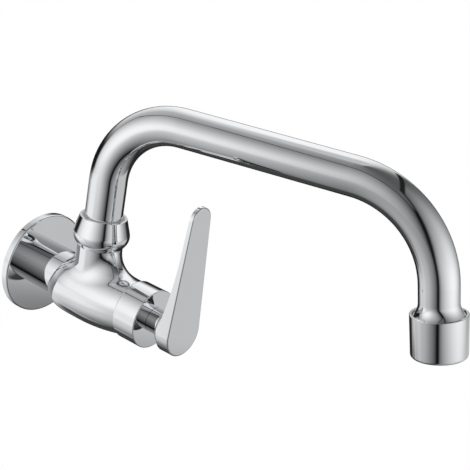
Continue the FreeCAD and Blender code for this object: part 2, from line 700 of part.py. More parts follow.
def outlet_collar():
    """Trumpet end of the tube, tangent to it, with the thread that carries the aerator."""
    side = fall_dir().cross(ACROSS)

    def at(distance, diameter):
        return fall_point(distance) + side * diameter / 2

    length = COLLAR_FLARE_LENGTH - COLLAR_LIP_T
    rise = (COLLAR_LIP_D - TUBE_D) / 2
    radius = (length * length + rise * rise) / (2 * rise)
    half_turn = math.asin(length / radius) / 2
    middle = at(FALL_LENGTH + radius * math.sin(half_turn), TUBE_D + 2 * radius * (1 - math.cos(half_turn)))
    lip = at(FALL_LENGTH + length, COLLAR_LIP_D)
    edges = [Part.Arc(at(FALL_LENGTH, TUBE_D), middle, lip).toShape()]
    edges += chain([lip, at(COLLAR_LIP_END, COLLAR_LIP_D), at(COLLAR_LIP_END, COLLAR_THREAD_D),
                    at(COLLAR_END, COLLAR_THREAD_D), at(COLLAR_END, TUBE_BORE_D),
                    at(FALL_LENGTH, TUBE_BORE_D), at(FALL_LENGTH, TUBE_D)])
    return revolve(edges, fall_point(0), fall_dir())


def aerator_housing():
    """Screwed cup with a thin rim that stands up round the collar's lip."""
    top = fall_point(HOUSING_TOP)
    cup = cone(top, fall_dir(), AERATOR_H, AERATOR_D, AERATOR_D - 2 * AERATOR_DRAFT)
    lower = outer_edge(cup, top, fall_dir(), AERATOR_H)
    cup = cup.makeFillet(AERATOR_EDGE_R, [lower])
    upper = outer_edge(cup, top, fall_dir(), 0)
    cup = cup.makeFillet(AERATOR_RIM_R, [upper])
    cup = cup.cut(fall_rod(HOUSING_TOP, COLLAR_LIP_END, COLLAR_LIP_D + 2 * AERATOR_RIM_GAP))
    cup = cup.cut(fall_rod(HOUSING_TOP, LEDGE, COLLAR_THREAD_D + 2 * THREAD_CLEARANCE))
    return cup.cut(fall_rod(HOUSING_TOP, HOUSING_END, COLLAR_THREAD_D - 2 * AERATOR_LIP))


def aerator_seal():
    return fall_ring(COLLAR_END, CARTRIDGE_START, COLLAR_THREAD_D, TUBE_BORE_D)


def aerator_cartridge():
    solid = fall_rod(CARTRIDGE_START, LEDGE, COLLAR_THREAD_D)
    solid = solid.fuse(fall_rod(LEDGE, CARTRIDGE_END, CARTRIDGE_D))
    solid = solid.cut(fall_rod(CARTRIDGE_START + CARTRIDGE_PLATE_T, CARTRIDGE_END, CARTRIDGE_BORE_D))
    along = fall_dir().cross(ACROSS)
    jets = []
    for i in range(JET_COUNT):
        angle = 2 * math.pi * i / JET_COUNT
        offset = (ACROSS * math.cos(angle) + along * math.sin(angle)) * (JET_CIRCLE_D / 2)
        jets.append(rod(fall_point(CARTRIDGE_START) + offset, fall_dir(), CARTRIDGE_PLATE_T, JET_D))
    return solid.cut(Part.makeCompound(jets))


def screen_hole(centre, along):
    """Square hole through the screen with its middle at centre."""
    half_across = ACROSS * SCREEN_HOLE / 2
    half_along = along * SCREEN_HOLE / 2
    first = centre - half_across - half_along
    corners = [first, centre + half_across - half_along, centre + half_across + half_along,
               centre - half_across + half_along, first]
    return Part.Face(Part.makePolygon(corners)).extrude(fall_dir() * SCREEN_T)


def aerator_screen():
    start = CARTRIDGE_END - SCREEN_SETBACK - SCREEN_T
    disc = fall_rod(start, start + SCREEN_T, CARTRIDGE_BORE_D)
    along = fall_dir().cross(ACROSS)
    reach = CARTRIDGE_BORE_D / 2 - SCREEN_RIM
    count = int(reach / SCREEN_PITCH)
    holes = []
    for i in range(-count, count + 1):
        for j in range(-count, count + 1):
            far_x = abs(i) * SCREEN_PITCH + SCREEN_HOLE / 2
            far_y = abs(j) * SCREEN_PITCH + SCREEN_HOLE / 2
            if math.hypot(far_x, far_y) < reach:
                centre = fall_point(start) + ACROSS * (i * SCREEN_PITCH) + along * (j * SCREEN_PITCH)
                holes.append(screen_hole(centre, along))
    return disc.cut(Part.makeCompound(holes))


for piece in (wall_flange, flange_gasket, inlet_filter, tap_body, headwork_body, headwork_washer,
              disc_seal, fixed_disc, moving_disc, spindle, spindle_o_rings, spindle_clip, bonnet,
              lever, lever_grub_screw, spout_nut, thrust_washer, split_ring, gland_ring, spout_tail,
              spout_o_rings, spout_tube, outlet_collar, aerator_housing, aerator_seal,
              aerator_cartridge, aerator_screen):
    save(piece.__name__, piece())
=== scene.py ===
import math

import bmesh
import bpy
from bpy.props import FloatProperty, FloatVectorProperty, PointerProperty
from mathutils import Matrix, Vector


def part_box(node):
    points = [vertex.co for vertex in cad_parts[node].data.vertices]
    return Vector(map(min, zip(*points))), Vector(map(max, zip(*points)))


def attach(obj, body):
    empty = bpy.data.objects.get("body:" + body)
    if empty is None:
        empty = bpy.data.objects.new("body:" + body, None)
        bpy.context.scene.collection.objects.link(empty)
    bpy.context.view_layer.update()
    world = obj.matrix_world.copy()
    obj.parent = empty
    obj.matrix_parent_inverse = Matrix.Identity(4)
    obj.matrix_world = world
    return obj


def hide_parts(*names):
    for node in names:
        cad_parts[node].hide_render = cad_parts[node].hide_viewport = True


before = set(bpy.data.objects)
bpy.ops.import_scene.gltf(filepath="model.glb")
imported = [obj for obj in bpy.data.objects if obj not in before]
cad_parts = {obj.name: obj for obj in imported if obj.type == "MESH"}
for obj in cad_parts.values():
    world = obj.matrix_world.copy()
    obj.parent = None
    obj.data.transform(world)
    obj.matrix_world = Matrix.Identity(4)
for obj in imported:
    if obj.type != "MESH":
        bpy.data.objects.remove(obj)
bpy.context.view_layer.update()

bl_info = {
    "name": "Wall basin tap",
    "version": (1, 0, 0),
    "blender": (4, 5, 0),
    "location": "View3D > Sidebar > Basin tap",
    "description": "Dresses the packed wall basin tap and lays out its studio",
    "category": "Object",
}

MM = 0.001
MICRON = 1e-6

# Directions of the spout at rest: its turn about the neck, and the lean of its falling leg
SWIVEL_REST = math.radians(16.0)
FALL_TILT = math.radians(13.0)
RUN_DIR = Vector((math.sin(SWIVEL_REST), -math.cos(SWIVEL_REST), 0))
ACROSS = Vector((RUN_DIR.y, -RUN_DIR.x, 0))
FALL_DIR = RUN_DIR * math.sin(FALL_TILT) - Vector((0, 0, 1)) * math.cos(FALL_TILT)


# Properties

def colour(name, description, default):
    return FloatVectorProperty(name=name, description=description, default=default, size=3, min=0,
                               max=1, subtype="COLOR")


def length(name, description, default):
    return FloatProperty(name=name, description=description, default=default, min=0, precision=5,
                         subtype="DISTANCE", unit="LENGTH")


def factor(name, description, default):
    return FloatProperty(name=name, description=description, default=default, min=0, max=1,
                         subtype="FACTOR")


def angle(name, description, degrees):
    return FloatProperty(name=name, description=description, default=math.radians(degrees),
                         subtype="ANGLE", unit="ROTATION")


class TapFinishes(bpy.types.PropertyGroup):
    chrome: colour("Chrome", "Mirror colour of the plated pieces", (0.885, 0.90, 0.915))
    chrome_roughness: factor("Chrome roughness", "How soft the mirror of the plating is", 0.022)
    polish_grain: length("Polish grain", "Size of the faint unevenness that polishing leaves", 0.0025)
    brass: colour("Brass", "Colour of the bare brass inside", (0.66, 0.47, 0.22))
    steel: colour("Steel", "Colour of the stainless pieces", (0.62, 0.62, 0.61))
    rubber: colour("Rubber", "Colour of the seals", (0.018, 0.018, 0.019))
    ceramic: colour("Ceramic", "Colour of the two discs", (0.82, 0.81, 0.78))
    white_plastic: colour("White plastic", "Colour of the bearing rings", (0.80, 0.80, 0.78))
    grey_plastic: colour("Grey plastic", "Colour of the gland ring and the aerator insert",
                         (0.42, 0.43, 0.44))
    fibre: colour("Fibre", "Colour of the pressed washer", (0.36, 0.10, 0.06))


class TapInlet(bpy.types.PropertyGroup):
    diameter: length("Thread diameter", "Outer diameter of the half-inch pipe thread", 20.96 * MM)
    bore: length("Bore", "Diameter of the bore in the threaded tail", 14.0 * MM)
    pitch: length("Thread pitch", "Pitch of the half-inch pipe thread", 0.001814)
    depth: length("Thread depth", "Height of the thread's ridges", 0.00116)
    chamfer: length("Lead-in", "Length over which the thread starts", 0.0012)
    run_out: length("Run-out", "Length over which the thread fades at the wall", 0.0009)


class TapGauze(bpy.types.PropertyGroup):
    wire: length("Gauze wire", "Thickness of the gauze's wires", 0.00028)
    pitch: length("Gauze pitch", "Distance between the gauze's wires", 0.0009)
    rim: length("Gauze rim", "Width of the rim that holds the gauze", 0.0009)
    thickness: length("Rim thickness", "Thickness of the rim", 0.0006)
    screen: length("Screen diameter", "Diameter of the aerator's gauze", 0.0197)
    filter: length("Filter diameter", "Diameter of the inlet's gauze", 0.014)


class TapStudio(bpy.types.PropertyGroup):
    floor_drop: length("Floor drop", "Distance from the inlet axis down to the floor", 0.45)
    floor_radius: length("Floor radius", "Radius of the round floor", 14.0)
    floor: colour("Floor", "Colour of the floor", (0.99, 0.99, 0.99))
    floor_glow: factor("Floor glow", "Share of plain white in the floor where it is looked at", 0.68)
    tent_radius: length("Tent radius", "Radius of the light tent round the tap", 0.42)
    softbox: FloatProperty(name="Soft boxes", description="Brightness of the tent's soft boxes",
                           default=1.08, min=0, soft_max=2, subtype="FACTOR")


class TapCamera(bpy.types.PropertyGroup):
    azimuth: angle("Azimuth", "Turn of the camera round the tap, from straight in front of the wall",
                   -54.05)
    elevation: angle("Elevation", "Height of the camera above the horizon", 20.25)
    roll: angle("Roll", "Tilt of the camera about its own axis", 9.85)
    distance: length("Distance", "Distance from the camera to the point it looks at", 0.61927)
    target: FloatVectorProperty(name="Target", description="Point that the camera looks at",
                                default=(0.03665, -0.10087, 0.04536), size=3, precision=5,
                                subtype="XYZ", unit="LENGTH")
    lens: FloatProperty(name="Focal length", description="Focal length on a sensor 36 mm wide",
                        default=91.76, min=1, subtype="DISTANCE_CAMERA")


# Node building

# The wave texture draws this many radians of its wave over one unit of its scale
WAVE_RADIANS = 20
RING_WANDER = 0.6
RING_DETAIL = 1.0


class Graph:
    """Small helper for building a node tree."""

    def __init__(self, tree):
        self.tree = tree
        tree.nodes.clear()

    def add(self, kind, **settings):
        node = self.tree.nodes.new(kind)
        for key, value in settings.items():
            setattr(node, key, value)
        return node

    def feed(self, socket, value):
        if isinstance(value, bpy.types.NodeSocket):
            self.tree.links.new(value, socket)
        else:
            socket.default_value = value

    def math(self, operation, *values):
        node = self.add("ShaderNodeMath", operation=operation)
        for socket, value in zip(node.inputs, values):
            self.feed(socket, value)
        return node.outputs[0]

    def vector(self, operation, *values):
        node = self.add("ShaderNodeVectorMath", operation=operation)
        for socket, value in zip(node.inputs, values):
            self.feed(socket, value)
        return node.outputs["Value"] if operation == "DOT_PRODUCT" else node.outputs[0]

    def ease(self, value, low, high, start=0.0, end=1.0, kind="SMOOTHSTEP"):
        """Takes a value from one range to another, and holds it past the ends."""
        node = self.add("ShaderNodeMapRange", interpolation_type=kind)
        for name, given in (("Value", value), ("From Min", low), ("From Max", high), ("To Min", start),
                            ("To Max", end)):
            self.feed(node.inputs[name], given)
        return node.outputs[0]

    def spread(self, value, part, low, high):
        """Takes one part of a value's range to another range, in a straight line."""
        return self.ease(value, part[0], part[1], low, high, "LINEAR")

    def fade(self, angle, none, full, end=1.0):
        """How far an angle in radians has come from none to full, which are both in degrees."""
        return self.ease(angle, math.radians(none), math.radians(full), 0.0, end)

    def blend(self, share, a, b):
        node = self.add("ShaderNodeMix", data_type="FLOAT")
        for socket, value in zip((node.inputs[0], node.inputs[2], node.inputs[3]), (share, a, b)):
            self.feed(socket, value)
        return node.outputs[0]

    def blend_colour(self, share, a, b):
        node = self.add("ShaderNodeMix", data_type="RGBA")
        for socket, value in zip((node.inputs[0], node.inputs[6], node.inputs[7]), (share, a, b)):
            self.feed(socket, value)
        return node.outputs[2]

    def ramp(self, angle, stops):
        """Smooth curve of grey levels over an angle in radians, from pairs of degrees and level."""
        first, last = stops[0][0], stops[-1][0]
        share = self.ease(angle, math.radians(first), math.radians(last), 0.0, 1.0, "LINEAR")
        node = self.add("ShaderNodeValToRGB")
        node.color_ramp.interpolation = "B_SPLINE"
        elements = node.color_ramp.elements
        while len(elements) < len(stops):
            elements.new(0.5)
        for element, (place, level) in zip(elements, stops):
            element.position = (place - first) / (last - first)
            element.color = (level, level, level, 1)
        self.feed(node.inputs[0], share)
        return node.outputs["Color"]

    def place(self):
        return self.add("ShaderNodeTexCoord").outputs["Object"]

    def noise(self, grain, detail):
        """Noise whose blobs are about one grain across."""
        node = self.add("ShaderNodeTexNoise")
        self.feed(node.inputs["Vector"], self.place())
        node.inputs["Scale"].default_value = 1 / grain
        node.inputs["Detail"].default_value = detail
        return node.outputs["Fac"]

    def turned(self, pitch, direction):
        """Fine rings that a lathe tool leaves, round an axis of the tap's frame."""
        node = self.add("ShaderNodeTexWave", wave_type="RINGS", rings_direction=direction,
                        wave_profile="SIN")
        self.feed(node.inputs["Vector"], self.place())
        node.inputs["Scale"].default_value = 2 * math.pi / (WAVE_RADIANS * pitch)
        node.inputs["Distortion"].default_value = RING_WANDER
        node.inputs["Detail"].default_value = RING_DETAIL
        return node.outputs["Fac"]

    def bump(self, height, strength, distance):
        node = self.add("ShaderNodeBump")
        node.inputs["Strength"].default_value = strength
        node.inputs["Distance"].default_value = distance
        self.feed(node.inputs["Height"], height)
        return node.outputs["Normal"]


def rgba(values):
    return (values[0], values[1], values[2], 1.0)


def shaded(values, share):
    return tuple(value * share for value in values)


def surface(name):
    """New material with its graph, shader and output."""
    material = bpy.data.materials.new(name)
    material.use_nodes = True
    graph = Graph(material.node_tree)
    output = graph.add("ShaderNodeOutputMaterial")
    shader = graph.add("ShaderNodeBsdfPrincipled")
    graph.feed(output.inputs["Surface"], shader.outputs["BSDF"])
    return material, graph, shader


def finishes():
    return bpy.context.scene.tap_finishes


# How each finish varies over a piece: a shade is a share of its colour, a softness a share of its
# roughness, a part the stretch of a noise that counts, and a relief the strength and the height in
# metres of its finest unevenness
BROAD_DETAIL = 2.0
MIDDLE_DETAIL = 3.0
SHARP_DETAIL = 4.0
FINEST_DETAIL = 5.0
COARSE_PART = (0.35, 0.7)
FINE_PART = (0.3, 0.7)

CHROME_SHADE = 0.975
CHROME_DRIFT_GRAINS = 6
CHROME_WIPES_PER_GRAIN = 8
CHROME_SOFTNESS = (0.6, 1.6)
CHROME_RELIEF = (0.10, 2e-6)

BRASS_SHADE = 0.72
BRASS_TARNISH_GRAIN = 0.004
BRASS_TARNISH_PART = (0.4, 0.75)
BRASS_ROUGHNESS = (0.24, 0.40)
BRASS_RING_PITCH = 0.00025
BRASS_RELIEF = (0.25, 4e-6)

STEEL_SHADE = 0.85
STEEL_GRAIN = 0.0006
STEEL_ROUGHNESS = (0.22, 0.36)
STEEL_RELIEF = (0.2, 3e-6)

MOULDED_DRIFT_GRAINS = 5
MOULDED_SOFTNESS = (0.85, 1.15)
MOULDED_STRENGTH = 0.4
MOULDED = {
    "black_rubber": dict(name="rubber_black", setting="rubber", roughness=0.55, grain=0.0004,
                         height=8e-6, shade=1.6),
    "disc_ceramic": dict(name="ceramic_lapped", setting="ceramic", roughness=0.20, grain=0.0002,
                         height=1e-6, shade=0.93),
    "white_plastic": dict(name="plastic_white", setting="white_plastic", roughness=0.38, grain=0.0005,
                          height=3e-6, shade=0.94),
    "grey_plastic": dict(name="plastic_grey", setting="grey_plastic", roughness=0.34, grain=0.0005,
                         height=3e-6, shade=0.92),
    "fibre": dict(name="fibre_pressed", setting="fibre", roughness=0.75, grain=0.0003, height=1.2e-5,
                  shade=0.6),
}


def drifting(graph, share, tone, shade):
    """Colour that goes from a tone to a shade of it by a share."""
    return graph.blend_colour(share, rgba(tone), rgba(shaded(tone, shade)))


def chrome_material():
    """Polished chrome: a clear mirror whose softness drifts a little, with hair-fine wiping marks."""
    values = finishes()
    material, graph, shader = surface("chrome_polished")
    shader.inputs["Metallic"].default_value = 1.0
    drift = graph.noise(values.polish_grain * CHROME_DRIFT_GRAINS, BROAD_DETAIL)
    graph.feed(shader.inputs["Base Color"], drifting(graph, drift, values.chrome, CHROME_SHADE))
    wipes = graph.noise(values.polish_grain / CHROME_WIPES_PER_GRAIN, SHARP_DETAIL)
    low, high = (values.chrome_roughness * share for share in CHROME_SOFTNESS)
    graph.feed(shader.inputs["Roughness"], graph.spread(wipes, COARSE_PART, low, high))
    waves = graph.noise(values.polish_grain, MIDDLE_DETAIL)
    graph.feed(shader.inputs["Normal"], graph.bump(waves, *CHROME_RELIEF))
    return material


def brass_material():
    """Bare turned brass with tool rings and slight tarnish."""
    material, graph, shader = surface("brass_turned")
    shader.inputs["Metallic"].default_value = 1.0
    tarnish = graph.ease(graph.noise(BRASS_TARNISH_GRAIN, SHARP_DETAIL), *BRASS_TARNISH_PART)
    graph.feed(shader.inputs["Base Color"], drifting(graph, tarnish, finishes().brass, BRASS_SHADE))
    graph.feed(shader.inputs["Roughness"], graph.spread(tarnish, (0.0, 1.0), *BRASS_ROUGHNESS))
    rings = graph.turned(BRASS_RING_PITCH, "Y")
    graph.feed(shader.inputs["Normal"], graph.bump(rings, *BRASS_RELIEF))
    return material


def steel_material():
    """Stainless steel with a fine rolled grain."""
    material, graph, shader = surface("steel_stainless")
    shader.inputs["Metallic"].default_value = 1.0
    grain = graph.noise(STEEL_GRAIN, SHARP_DETAIL)
    graph.feed(shader.inputs["Base Color"], drifting(graph, grain, finishes().steel, STEEL_SHADE))
    graph.feed(shader.inputs["Roughness"], graph.spread(grain, FINE_PART, *STEEL_ROUGHNESS))
    graph.feed(shader.inputs["Normal"], graph.bump(grain, *STEEL_RELIEF))
    return material


def moulded_material(name, setting, roughness, grain, height, shade):
    """Rubber, plastic, fibre or ceramic: a grained matt surface whose colour drifts a little."""
    material, graph, shader = surface(name)
    drift = graph.ease(graph.noise(grain * MOULDED_DRIFT_GRAINS, SHARP_DETAIL), *COARSE_PART)
    tone = getattr(finishes(), setting)
    graph.feed(shader.inputs["Base Color"], drifting(graph, drift, tone, shade))
    fine = graph.noise(grain, FINEST_DETAIL)
    low, high = (roughness * share for share in MOULDED_SOFTNESS)
    graph.feed(shader.inputs["Roughness"], graph.spread(fine, FINE_PART, low, high))
    graph.feed(shader.inputs["Normal"], graph.bump(fine, MOULDED_STRENGTH, height))
    return material


METALS = {"chrome": chrome_material, "brass": brass_material, "steel": steel_material}
materials = {}


def material_for(slot):
    """The material of one of the record's slots, made when it is first asked for."""
    if slot not in materials:
        materials[slot] = METALS[slot]() if slot in METALS else moulded_material(**MOULDED[slot])
    return materials[slot]


# Mesh building

def new_object(name, mesh, slot, body, nodes):
    """Puts a finished mesh in the scene as a piece that stands for some nodes, on their body."""
    piece = bpy.data.objects.new(name, mesh)
    bpy.context.scene.collection.objects.link(piece)
    piece.data.materials.clear()
    piece.data.materials.append(material_for(slot))
    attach(piece, body)
    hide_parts(*nodes)
    return piece


def dress(*names):
    """Gives carried-over nodes the material of the slot that they already name."""
    for name in names:
        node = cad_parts[name]
        for holder in node.material_slots:
            slot = holder.material.name.split(".")[0]
            holder.material = material_for(slot)


def add_rings(points, faces, rings, closed):
    """Joins rings of equal point counts in order, and back to the first or with an end face each."""
    first, count = len(points), len(rings[0])
    for ring in rings:
        points.extend(tuple(point) for point in ring)
    for i in range(len(rings) if closed else len(rings) - 1):
        here = first + i * count
        there = first + (i + 1) % len(rings) * count
        for j in range(count):
            k = (j + 1) % count
            faces.append((here + j, here + k, there + k, there + j))
    if not closed:
        faces.append(tuple(range(first + count - 1, first - 1, -1)))
        faces.append(tuple(range(first + (len(rings) - 1) * count, first + len(rings) * count)))


def mesh_of(points, faces):
    mesh = bpy.data.meshes.new("piece")
    mesh.from_pydata(points, [], faces)
    return mesh


def turns(steps):
    """Equal steps of one whole turn, in radians."""
    return [2 * math.pi * j / steps for j in range(steps)]


def circle(centre, u, v, radius, steps):
    return [centre + (u * math.cos(turn) + v * math.sin(turn)) * radius for turn in turns(steps)]


GAUZE_SIDES = 6
GAUZE_ROWS_PER_PITCH = 6
GAUZE_SHARP = 40
RIM_STEPS = 72


def gauze(name, node, u, v, diameter, body):
    """Round woven gauze in a flat rim, laid where a flat disc node lies, with u and v in its plane."""
    values = bpy.context.scene.tap_gauze
    low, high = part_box(node)
    centre = (low + high) / 2
    normal = u.cross(v)
    reach = diameter / 2
    thick = values.thickness / 2
    inner = reach - values.rim
    points, faces = [], []
    rim = []
    for radius, rise in ((reach, -thick), (reach, thick), (inner, thick), (inner, -thick)):
        rim.append(circle(centre + normal * rise, u, v, radius, RIM_STEPS))
    add_rings(points, faces, rim, True)
    span = inner + values.rim / 2
    count = int(inner / values.pitch)
    for along, across, phase in ((u, v, 0), (v, u, 1)):
        for k in range(-count, count + 1):
            offset = k * values.pitch
            half = math.sqrt(span * span - offset * offset)
            rows = int(2 * half / values.pitch * GAUZE_ROWS_PER_PITCH)
            wire = []
            for i in range(rows + 1):
                place = half * (2 * i / rows - 1)
                lift = values.wire / 2 * math.cos(math.pi * (place / values.pitch + k + phase))
                middle = centre + along * place + across * offset + normal * lift
                wire.append(circle(middle, across, normal, values.wire / 2, GAUZE_SIDES))
            add_rings(points, faces, wire, False)
    new_object(name, tidy_mesh(mesh_of(points, faces), GAUZE_SHARP), "steel", body, [node])


def tidy_mesh(mesh, sharp):
    """Faces outwards, smooth shading, and a sharp mark where faces meet at more than some degrees."""
    work = bmesh.new()
    work.from_mesh(mesh)
    bmesh.ops.recalc_face_normals(work, faces=work.faces)
    limit = math.radians(sharp)
    for face in work.faces:
        face.smooth = True
    for edge in work.edges:
        edge.smooth = len(edge.link_faces) == 2 and edge.calc_face_angle(0) < limit
    work.to_mesh(mesh)
    work.free()
    return mesh


def corner_normals(mesh):
    """Normal of every face corner of a mesh, by face centre and corner place."""
    normals = [tuple(item.vector) for item in mesh.corner_normals]
    found = {}
    for face in mesh.polygons:
        centre = rounded(face.center)
        for loop in face.loop_indices:
            found[centre, rounded(mesh.vertices[mesh.loops[loop].vertex_index].co)] = normals[loop]
    return found


def rounded(point):
    return tuple(round(value / MICRON) for value in point)


def keep_curvature(source, mesh):
    """Gives a trimmed copy of a mesh the smooth normals of its source, face for face."""
    known = corner_normals(source)
    own = [tuple(item.vector) for item in mesh.corner_normals]
    for face in mesh.polygons:
        centre = rounded(face.center)
        for loop in face.loop_indices:
            key = centre, rounded(mesh.vertices[mesh.loops[loop].vertex_index].co)
            own[loop] = known.get(key, own[loop])
    mesh.normals_split_custom_set(own)


# Pieces

class TAP_OT_wall_fixing(bpy.types.Operator):
    """Dress the wall flange and its gasket, and weave the inlet's gauze"""
    bl_idname = "tap.wall_fixing"
    bl_label = "Wall fixing"

    def execute(self, context):
        dress("wall_flange", "flange_gasket")
        diameter = context.scene.tap_gauze.filter
        across, up = Vector((1, 0, 0)), Vector((0, 0, 1))
        gauze("inlet_gauze", "inlet_filter", across, up, diameter, "valve_body")
        return {"FINISHED"}


THREAD_STEPS = 120
THREAD_ROWS_PER_PITCH = 14
THREAD_LAND = 0.12
TAIL_SHARP = 60
CHAMFERS_PER_BORE_CHAMFER = 3
CUT_TOLERANCE = 1e-7


def thread_ring(values, low, high, place):
    """One ring of the thread's surface at a place along its axis, which runs from low to high."""
    ring = []
    at_wall = min(1.0, max(0.0, (place - low) / values.run_out))
    at_end = min(1.0, max(0.0, (high - place) / values.chamfer))
    for j, turn in enumerate(turns(THREAD_STEPS)):
        phase = (place / values.pitch - j / THREAD_STEPS) % 1.0
        slope = abs(2 * phase - 1)
        ridge = min(1.0, max(0.0, (slope - THREAD_LAND) / (1 - 2 * THREAD_LAND)))
        ridge = ridge * ridge * (3 - 2 * ridge)
        cut = values.depth * (1 - ridge) * at_wall * at_end + values.depth * (1 - at_end)
        radius = values.diameter / 2 - min(values.depth, cut)
        ring.append((radius * math.cos(turn), place, radius * math.sin(turn)))
    return ring


def plain_ring(place, radius):
    return [(radius * math.cos(turn), place, radius * math.sin(turn)) for turn in turns(THREAD_STEPS)]


class TAP_OT_body(bpy.types.Operator):
    """Make the cast body with its threaded inlet tail"""
    bl_idname = "tap.body"
    bl_label = "Body casting and inlet"

    def execute(self, context):
        self.casting()
        self.tail(context.scene.tap_inlet)
        return {"FINISHED"}

    def casting(self):
        """The casting in front of the wall, with the true curvature of the node it stands for."""
        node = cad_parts["tap_body"]
        mesh = node.data.copy()
        work = bmesh.new()
        work.from_mesh(mesh)
        whole = work.verts[:] + work.edges[:] + work.faces[:]
        cut = bmesh.ops.bisect_plane(work, geom=whole, dist=CUT_TOLERANCE, plane_co=(0, 0, 0),
                                     plane_no=(0, 1, 0), clear_outer=True)
        rim = [item for item in cut["geom_cut"] if isinstance(item, bmesh.types.BMEdge)]
        bmesh.ops.holes_fill(work, edges=rim)
        work.to_mesh(mesh)
        work.free()
        keep_curvature(node.data, mesh)
        new_object("body_casting", mesh, "chrome", "valve_body", ["tap_body"])

    def tail(self, values):
        """The threaded tail behind the wall, with its bore."""
        low, high = 0.0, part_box("tap_body")[1].y
        bore = values.bore / 2
        bore_chamfer = values.chamfer / CHAMFERS_PER_BORE_CHAMFER
        rows = int((high - low) / values.pitch * THREAD_ROWS_PER_PITCH)
        rings = [plain_ring(low, bore), plain_ring(high - bore_chamfer, bore),
                 plain_ring(high, bore + bore_chamfer)]
        for i in range(rows + 1):
            rings.append(thread_ring(values, low, high, high - (high - low) * i / rows))
        points, faces = [], []
        add_rings(points, faces, rings, True)
        mesh = tidy_mesh(mesh_of(points, faces), TAIL_SHARP)
        new_object("inlet_thread_tail", mesh, "chrome", "valve_body", ["tap_body"])


class TAP_OT_headwork(bpy.types.Operator):
    """Dress the ceramic headwork: body, washer, seal, discs, spindle, rings and clip"""
    bl_idname = "tap.headwork"
    bl_label = "Headwork"

    def execute(self, context):
        dress("headwork_body", "headwork_washer", "disc_seal", "fixed_disc", "moving_disc", "spindle",
              "spindle_o_rings", "spindle_clip")
        return {"FINISHED"}


class TAP_OT_bonnet(bpy.types.Operator):
    """Dress the round bonnet over the headwork"""
    bl_idname = "tap.bonnet"
    bl_label = "Bonnet"

    def execute(self, context):
        dress("bonnet")
        return {"FINISHED"}


class TAP_OT_lever(bpy.types.Operator):
    """Dress the lever and its grub screw"""
    bl_idname = "tap.lever"
    bl_label = "Lever"

    def execute(self, context):
        dress("lever", "lever_grub_screw")
        return {"FINISHED"}


class TAP_OT_union(bpy.types.Operator):
    """Dress the spout union: nut, bearing rings, gland ring, tail and O-rings"""
    bl_idname = "tap.union"
    bl_label = "Spout union"

    def execute(self, context):
        dress("spout_nut", "thrust_washer", "split_ring", "gland_ring", "spout_tail", "spout_o_rings")
        return {"FINISHED"}


class TAP_OT_spout(bpy.types.Operator):
    """Dress the spout tube and its outlet collar"""
    bl_idname = "tap.spout"
    bl_label = "Spout"

    def execute(self, context):
        dress("spout_tube", "outlet_collar")
        return {"FINISHED"}


class TAP_OT_aerator(bpy.types.Operator):
    """Dress the aerator's housing, seal and cartridge, and weave its screen"""
    bl_idname = "tap.aerator"
    bl_label = "Aerator"

    def execute(self, context):
        dress("aerator_housing", "aerator_seal", "aerator_cartridge")
        diameter = context.scene.tap_gauze.screen
        along = FALL_DIR.cross(ACROSS)
        gauze("aerator_gauze", "aerator_screen", ACROSS, along, diameter, "swivel_spout")
        return {"FINISHED"}


# Studio

FLOOR_SIDES = 128
SENSOR_WIDTH = 36.0
CLIP_START = 0.01
CLIP_END = 100.0

# The light tent. Its angles are in degrees: azimuths from straight in front of the wall, and heights
# above the horizon. Two bright panels stand left and right of a dark slot, under a ceiling.
TENT_CENTRE = Vector((0.02, -0.12, 0.04))
TENT_MERIDIANS = 96
TENT_PARALLELS = 48

SLOT_AZIMUTH = -47.5
SLOT_BLUR = 1.0
SLOT_LEAN = 0.44
LEAN_FADE = (60, 12)

# The panels end at arches, the left one also at an upright edge and a slanted corner
LEFT_ARCH_AZIMUTH = -105.0
RIGHT_ARCH_AZIMUTH = 22.0
ARCH_HEIGHT = 63.5
ARCH_BLUR = 0.012
LEFT_EDGE = -164.0
LEFT_CORNER = (-129.0, 59.0)
CORNER_SLOPE = 0.72
RIGHT_EDGE = 93.0
RIGHT_EDGE_BLUR = 1.5

# Black frames along those ends: half thickness left and right in radians, and where they stop
FRAME_LEVEL = 0.015
FRAME_LEFT = 0.018
FRAME_RIGHT = 0.034
FRAME_BLUR = (1.4, 0.6)
FRAME_END = (96, 92)
FRAME_FOOT = (2, 9)

# Low part of the tent past the right panel
BESIDE_LEVEL = 0.12
BESIDE_FADE = (-4, -18)

# Brightness of the panels round the tent, of each panel from bottom to top, and of the ceiling round it
PANEL_LEVELS = [(-178, 0.20), (-164, 0.46), (-150, 0.68), (-136, 0.88), (-120, 0.97), (-104, 0.91),
                (-90, 0.68), (-76, 0.44), (-64, 0.26), (-55, 0.10), (-50.5, 0.0), (-44, 0.0),
                (-39.5, 0.26), (-30, 0.50), (-14, 0.71), (4, 0.92), (20, 1.03), (36, 0.88), (52, 0.58),
                (68, 0.36), (93, 0.12)]
LEFT_LEVELS = [(-90, 0.08), (-60, 0.30), (-36, 0.49), (-20, 0.62), (-12, 0.76), (-5, 0.99), (3, 1.03),
               (13, 0.99), (28, 0.73), (44, 0.49), (60, 0.26), (90, 0.22)]
RIGHT_LEVELS = [(-90, 0.12), (-60, 0.28), (-32, 0.45), (-18, 0.52), (-8, 0.84), (3, 1.0), (13, 0.87),
                (30, 0.54), (50, 0.25), (64, 0.14), (90, 0.14)]
CEILING_LEVELS = [(-180, 0.48), (-148, 0.37), (-100, 0.25), (-60, 0.13), (-20, 0.09), (30, 0.09),
                  (60, 0.11), (80, 0.20), (94, 0.58), (106, 0.89), (122, 0.95), (142, 0.94),
                  (158, 0.78), (180, 0.50)]


class Patch:
    """A soft box or a black cloth in the tent: each pair is where it is full and where it has faded."""

    def __init__(self, azimuth, half_width, lower, upper, level):
        self.azimuth = azimuth
        self.half_width = half_width
        self.lower = lower
        self.upper = upper
        self.level = level


